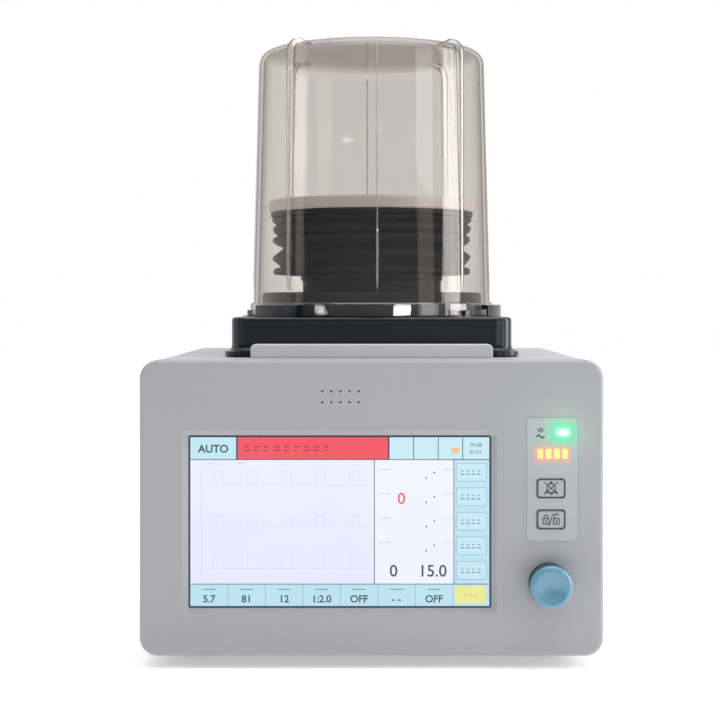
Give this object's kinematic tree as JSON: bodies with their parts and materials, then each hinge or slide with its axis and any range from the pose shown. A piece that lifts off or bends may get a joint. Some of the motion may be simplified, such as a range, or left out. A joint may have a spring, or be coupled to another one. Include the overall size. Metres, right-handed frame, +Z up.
{
  "type": "mechanical ventilator",
  "caption": "Tabletop ventilator: grey case with a touch display, keypad and rotary knob, and rubber bellows under a clear ribbed bayonet dome on its roof.",
  "frame": {"origin": "on the table, under the middle of the whole object", "axes": "+X right, +Y rear, +Z up; the display faces -Y"},
  "size_m": [0.3074, 0.316, 0.4345],
  "materials": {
    "base_black": "glossy",
    "battery_wrap": "shrink film",
    "black_plastic": "satin",
    "board_green": "solder mask",
    "cable_white": "flat cable",
    "contact_brass": "plated",
    "cover_grey": "satin paint",
    "disc_cream": "satin",
    "dome_clear": "clear, faintly smoky",
    "film_grey": "satin film",
    "fold_rubber": "matt",
    "foot_rubber": "matt",
    "hose_rubber": "matt",
    "key_grey": "satin",
    "knob_blue": "glossy",
    "lamp_amber": "lit lens",
    "lamp_green": "lit lens",
    "module_steel": "bare sheet",
    "panel_grey": "fine matt texture",
    "port_plastic": "moulded",
    "rear_grey": "satin paint",
    "screen_glass": "glossy touch glass",
    "screw_steel": "plated",
    "shaft_steel": "turned",
    "valve_aluminium": "anodised"
  },
  "bodies": {
    "ventilator": {"base_gasket": "foot_rubber", "base_screws": "screw_steel", "battery_bars": "lamp_amber", "battery_pack": "battery_wrap", "battery_strap": "module_steel", "bellows_base": "base_black", "bellows_folds": "fold_rubber", "bellows_seat": "base_black", "case_screws": "screw_steel", "display_bracket": "module_steel", "display_glass": "screen_glass", "display_module": "module_steel", "drive_hose": "hose_rubber", "earth_post": "contact_brass", "encoder_body": "shaft_steel", "exhaust_hose": "hose_rubber", "exhaust_port": "port_plastic", "fan_grille": "screw_steel", "fan_housing": "black_plastic", "fan_screws": "screw_steel", "feet": "foot_rubber", "front_panel": "panel_grey", "fuse_holders": "black_plastic", "inlet_hose": "hose_rubber", "keypad_board": "board_green", "keypad_film": "film_grey", "lock_ring": "base_black", "main_board": "board_green", "mains_blades": "contact_brass", "mains_inlet": "black_plastic", "mains_lamp": "lamp_green", "network_socket": "module_steel", "patient_hose": "hose_rubber", "patient_port": "port_plastic", "power_supply": "module_steel", "pressure_regulator": "valve_aluminium", "rear_panel": "rear_grey", "retaining_bar": "panel_grey", "ribbon_cable": "cable_white", "sensor_ports": "port_plastic", "speaker": "module_steel", "spill_housing": "base_black", "supply_inlet": "contact_brass", "switch_housing": "black_plastic", "top_cover": "cover_grey", "tray": "cover_grey", "valve_block": "valve_aluminium", "valve_coil": "black_plastic"},
    "bellows_top": {"bellows_disc": "disc_cream", "bellows_clamp": "base_black"},
    "dome_ring": {"dome_seal": "foot_rubber"},
    "dome_shell": {"dome": "dome_clear"},
    "push_plunger": {"encoder_plunger": "black_plastic"},
    "knob_assembly": {"knob": "knob_blue", "encoder_shaft": "shaft_steel"},
    "mute_button": {"mute_key": "key_grey"},
    "lock_button": {"lock_key": "key_grey"},
    "rocker_switch": {"rocker": "black_plastic"},
    "fan_wheel": {"fan_rotor": "black_plastic"},
    "spill_valve": {"spill_valve_disc": "port_plastic"}
  },
  "joints": [
    {"name": "bellows_rise", "type": "slide", "parent": "ventilator", "child": "bellows_top", "axis": [0, 0, 1], "range_m": [0, 0.1], "deforming": ["bellows_folds"]},
    {"name": "dome_turn", "type": "hinge", "parent": "ventilator", "child": "dome_ring", "pos_m": [0, 0.03, 0.2296], "axis": [0, 0, 1], "range_deg": [0, 20]},
    {"name": "dome_lift", "type": "slide", "parent": "dome_ring", "child": "dome_shell", "axis": [0, 0, 1], "range_m": [0, 0.215]},
    {"name": "knob_push", "type": "slide", "parent": "ventilator", "child": "push_plunger", "axis": [0, 1, 0], "range_m": [0, 0.0005], "stiffness_N_per_m": 800},
    {"name": "knob_turn", "type": "hinge", "parent": "push_plunger", "child": "knob_assembly", "pos_m": [0.1165, -0.1494, 0.0566], "axis": [0, -1, 0], "continuous": true},
    {"name": "mute_push", "type": "slide", "parent": "ventilator", "child": "mute_button", "axis": [0, 1, 0], "range_m": [0, 0.0005], "stiffness_N_per_m": 800},
    {"name": "lock_push", "type": "slide", "parent": "ventilator", "child": "lock_button", "axis": [0, 1, 0], "range_m": [0, 0.0005], "stiffness_N_per_m": 800},
    {"name": "rocker_flip", "type": "hinge", "parent": "ventilator", "child": "rocker_switch", "pos_m": [0.078, 0.132, 0.042], "axis": [1, 0, 0], "range_deg": [-16, 0]},
    {"name": "fan_spin", "type": "hinge", "parent": "ventilator", "child": "fan_wheel", "pos_m": [0.095, 0.124, 0.13], "axis": [0, 1, 0], "continuous": true},
    {"name": "spill_lift", "type": "slide", "parent": "ventilator", "child": "spill_valve", "axis": [0, 0, 1], "range_m": [0, 0.003]}
  ]
}
